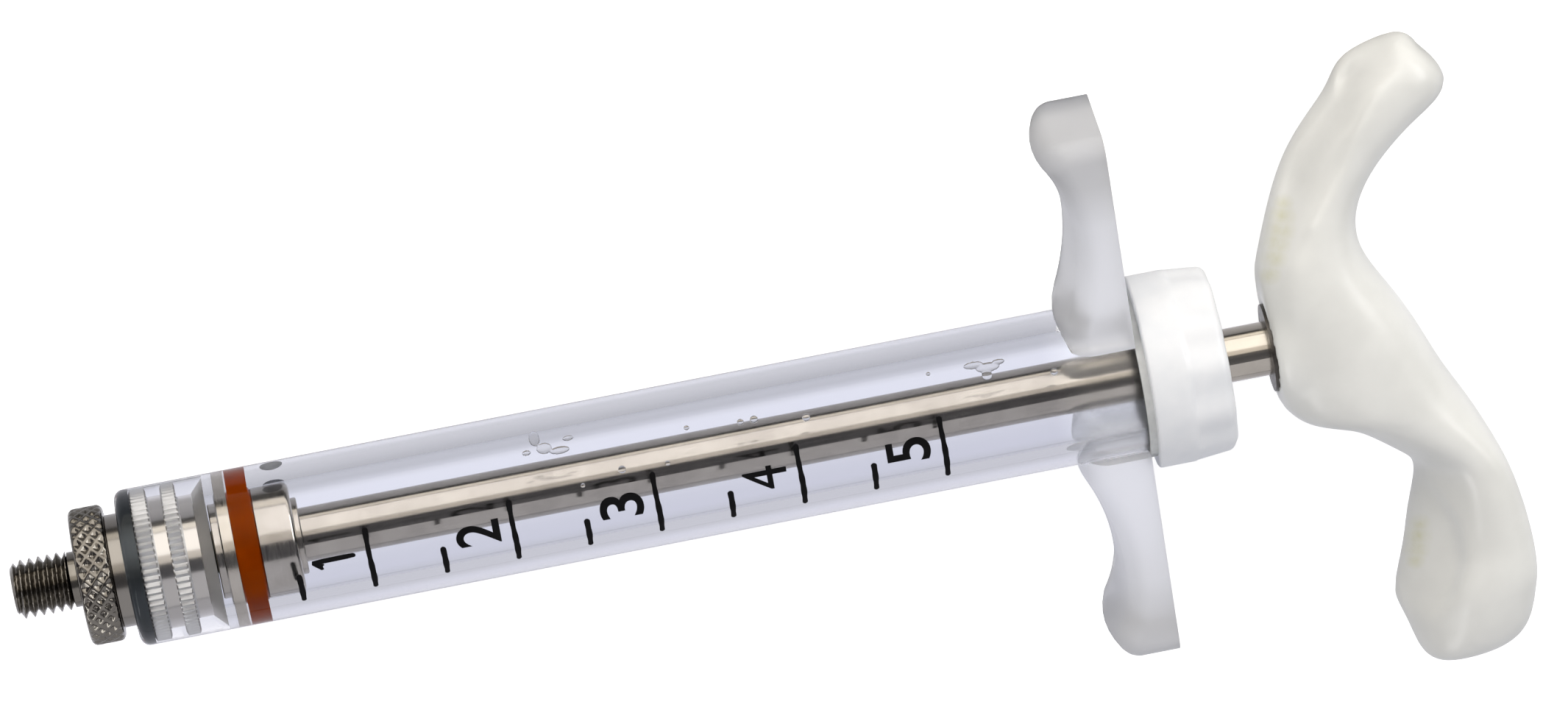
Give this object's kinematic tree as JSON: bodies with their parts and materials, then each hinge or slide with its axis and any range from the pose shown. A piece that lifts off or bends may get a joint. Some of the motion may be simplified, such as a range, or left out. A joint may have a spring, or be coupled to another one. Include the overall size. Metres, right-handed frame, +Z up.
{
  "type": "reusable clear-barrel syringe",
  "caption": "Reusable syringe with clear graduated barrel, finger wings, screw-thread nozzle, screw cap and S-shaped palm handle on a sliding, turning plunger.",
  "frame": {"origin": "mouth of the nozzle's bore, at the tip of the threaded stud, on the barrel's axis", "axes": "+X along the barrel towards the handle, +Y towards the shorter lobe of the handle, +Z up as the syringe lies on a table"},
  "size_m": [0.1324, 0.0576, 0.0172],
  "materials": {
    "clear_plastic": "clear moulded, frosted on the wings",
    "nickel_plate": "nickel plated, turned",
    "rod_steel": "bright drawn, fine marks along the rod",
    "seal_rubber": "satin",
    "washer_rubber": "matte",
    "white_plastic": "satin moulded",
    "ivory_plastic": "polished, lightly stained",
    "scale_paint": "matte filling in engraved lines"
  },
  "bodies": {
    "barrel": {"barrel": "clear_plastic", "front_bush": "nickel_plate", "scale_ticks": "scale_paint"},
    "seal": {"piston_seal": "seal_rubber"},
    "plunger": {"piston_nose": "nickel_plate", "piston_body": "nickel_plate", "plunger_rod": "rod_steel", "handle_ferrule": "nickel_plate", "handle": "ivory_plastic"},
    "nozzle_ring": {"nozzle_washer": "washer_rubber"},
    "nozzle": {"nozzle": "nickel_plate"},
    "cap_ring": {"cap_washer": "washer_rubber"},
    "cap": {"cap": "white_plastic"}
  },
  "joints": [
    {"name": "plunger_slide", "type": "slide", "parent": "barrel", "child": "seal", "axis": [1, 0, 0], "range_m": [0, 0.08]},
    {"name": "plunger_turn", "type": "hinge", "parent": "seal", "child": "plunger", "pos_m": [0.02, 0, 0], "axis": [1, 0, 0], "continuous": true},
    {"name": "nozzle_travel", "type": "slide", "parent": "barrel", "child": "nozzle_ring", "axis": [-1, 0, 0], "range_m": [0, 0.0032]},
    {"name": "nozzle_turn", "type": "hinge", "parent": "nozzle_ring", "child": "nozzle", "pos_m": [0.0059, 0, 0], "axis": [-1, 0, 0], "range_deg": [0, 1440.5]},
    {"name": "cap_travel", "type": "slide", "parent": "barrel", "child": "cap_ring", "axis": [1, 0, 0], "range_m": [0, 0.003]},
    {"name": "cap_turn", "type": "hinge", "parent": "cap_ring", "child": "cap", "pos_m": [0.1045, 0, 0], "axis": [1, 0, 0], "range_deg": [0, 720.3]}
  ],
  "couplings": [
    {"joint": "nozzle_turn", "follows": "nozzle_travel", "rad_per_m": 7854},
    {"joint": "cap_turn", "follows": "cap_travel", "rad_per_m": 4188.8}
  ]
}
